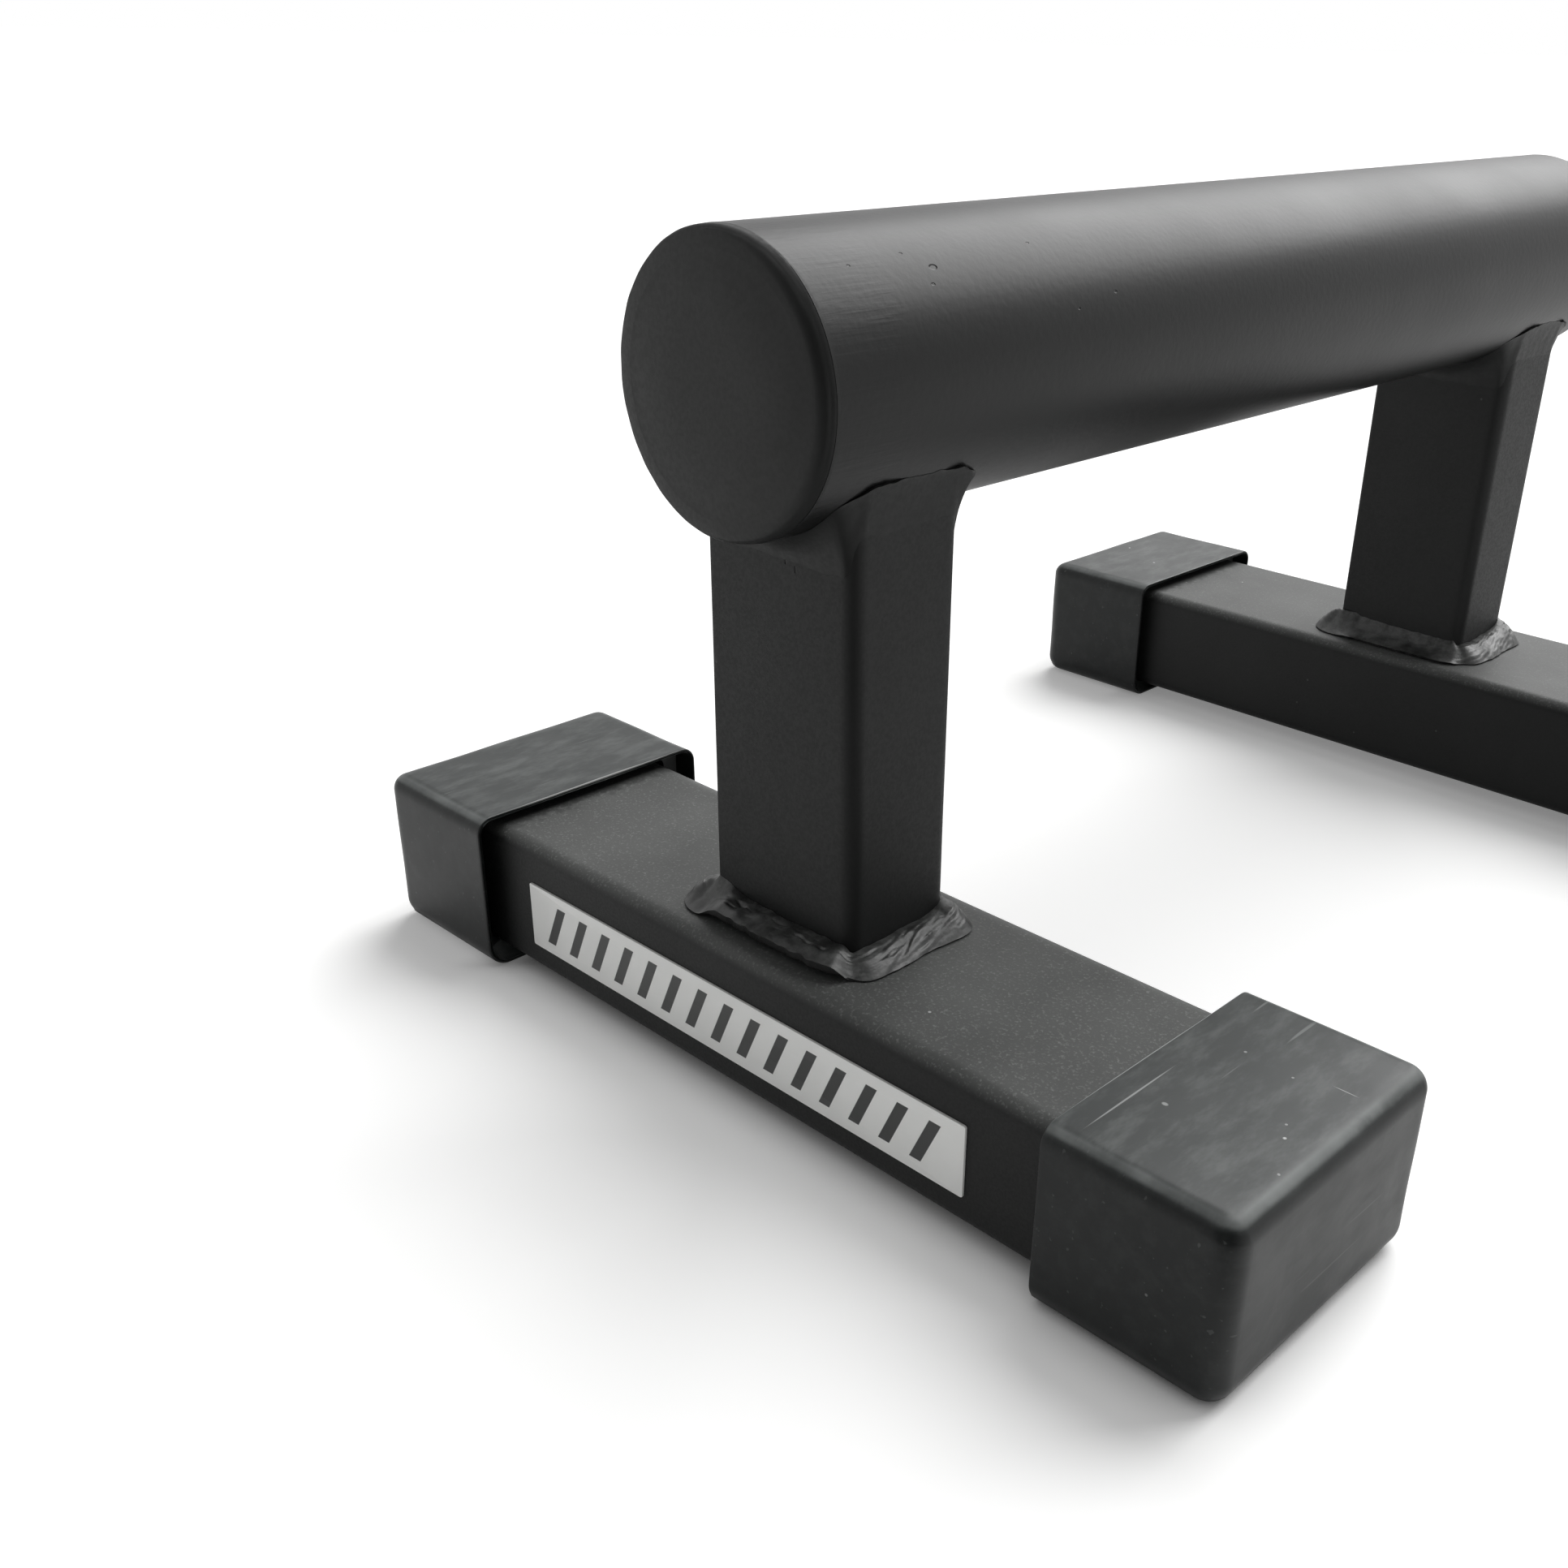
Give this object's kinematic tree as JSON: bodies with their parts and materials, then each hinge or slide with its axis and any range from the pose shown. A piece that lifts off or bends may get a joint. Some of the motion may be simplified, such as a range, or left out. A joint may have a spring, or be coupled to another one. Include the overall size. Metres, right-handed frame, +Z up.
{
  "type": "parallette bar",
  "caption": "Low free-standing exercise bar: a thick round grip on two welded posts, each on a flat base bar with rubber end caps.",
  "frame": {"origin": "on the floor, under the middle of the object", "axes": "+X along the base bars, +Y along the grip from the labelled front to the rear, +Z up"},
  "size_m": [0.222, 0.2966, 0.1582],
  "materials": {
    "grip_coat": "satin black powder coat",
    "frame_coat": "fine-grained satin black powder coat",
    "weld_coat": "satin black powder coat over a rippled weld",
    "cap_rubber": "matt, lightly scuffed",
    "label_film": "plain light grey film"
  },
  "bodies": {
    "root": {"grip_tube": "grip_coat", "front_grip_end_plate": "grip_coat", "rear_grip_end_plate": "grip_coat", "front_grip_end_weld": "grip_coat", "rear_grip_end_weld": "grip_coat", "front_post": "frame_coat", "rear_post": "frame_coat", "front_post_saddle_weld": "weld_coat", "rear_post_saddle_weld": "weld_coat", "front_post_foot_weld": "weld_coat", "rear_post_foot_weld": "weld_coat", "front_base_bar": "frame_coat", "rear_base_bar": "frame_coat", "front_left_foot_cap": "cap_rubber", "front_right_foot_cap": "cap_rubber", "rear_left_foot_cap": "cap_rubber", "rear_right_foot_cap": "cap_rubber", "front_label": "label_film"}
  },
  "joints": []
}
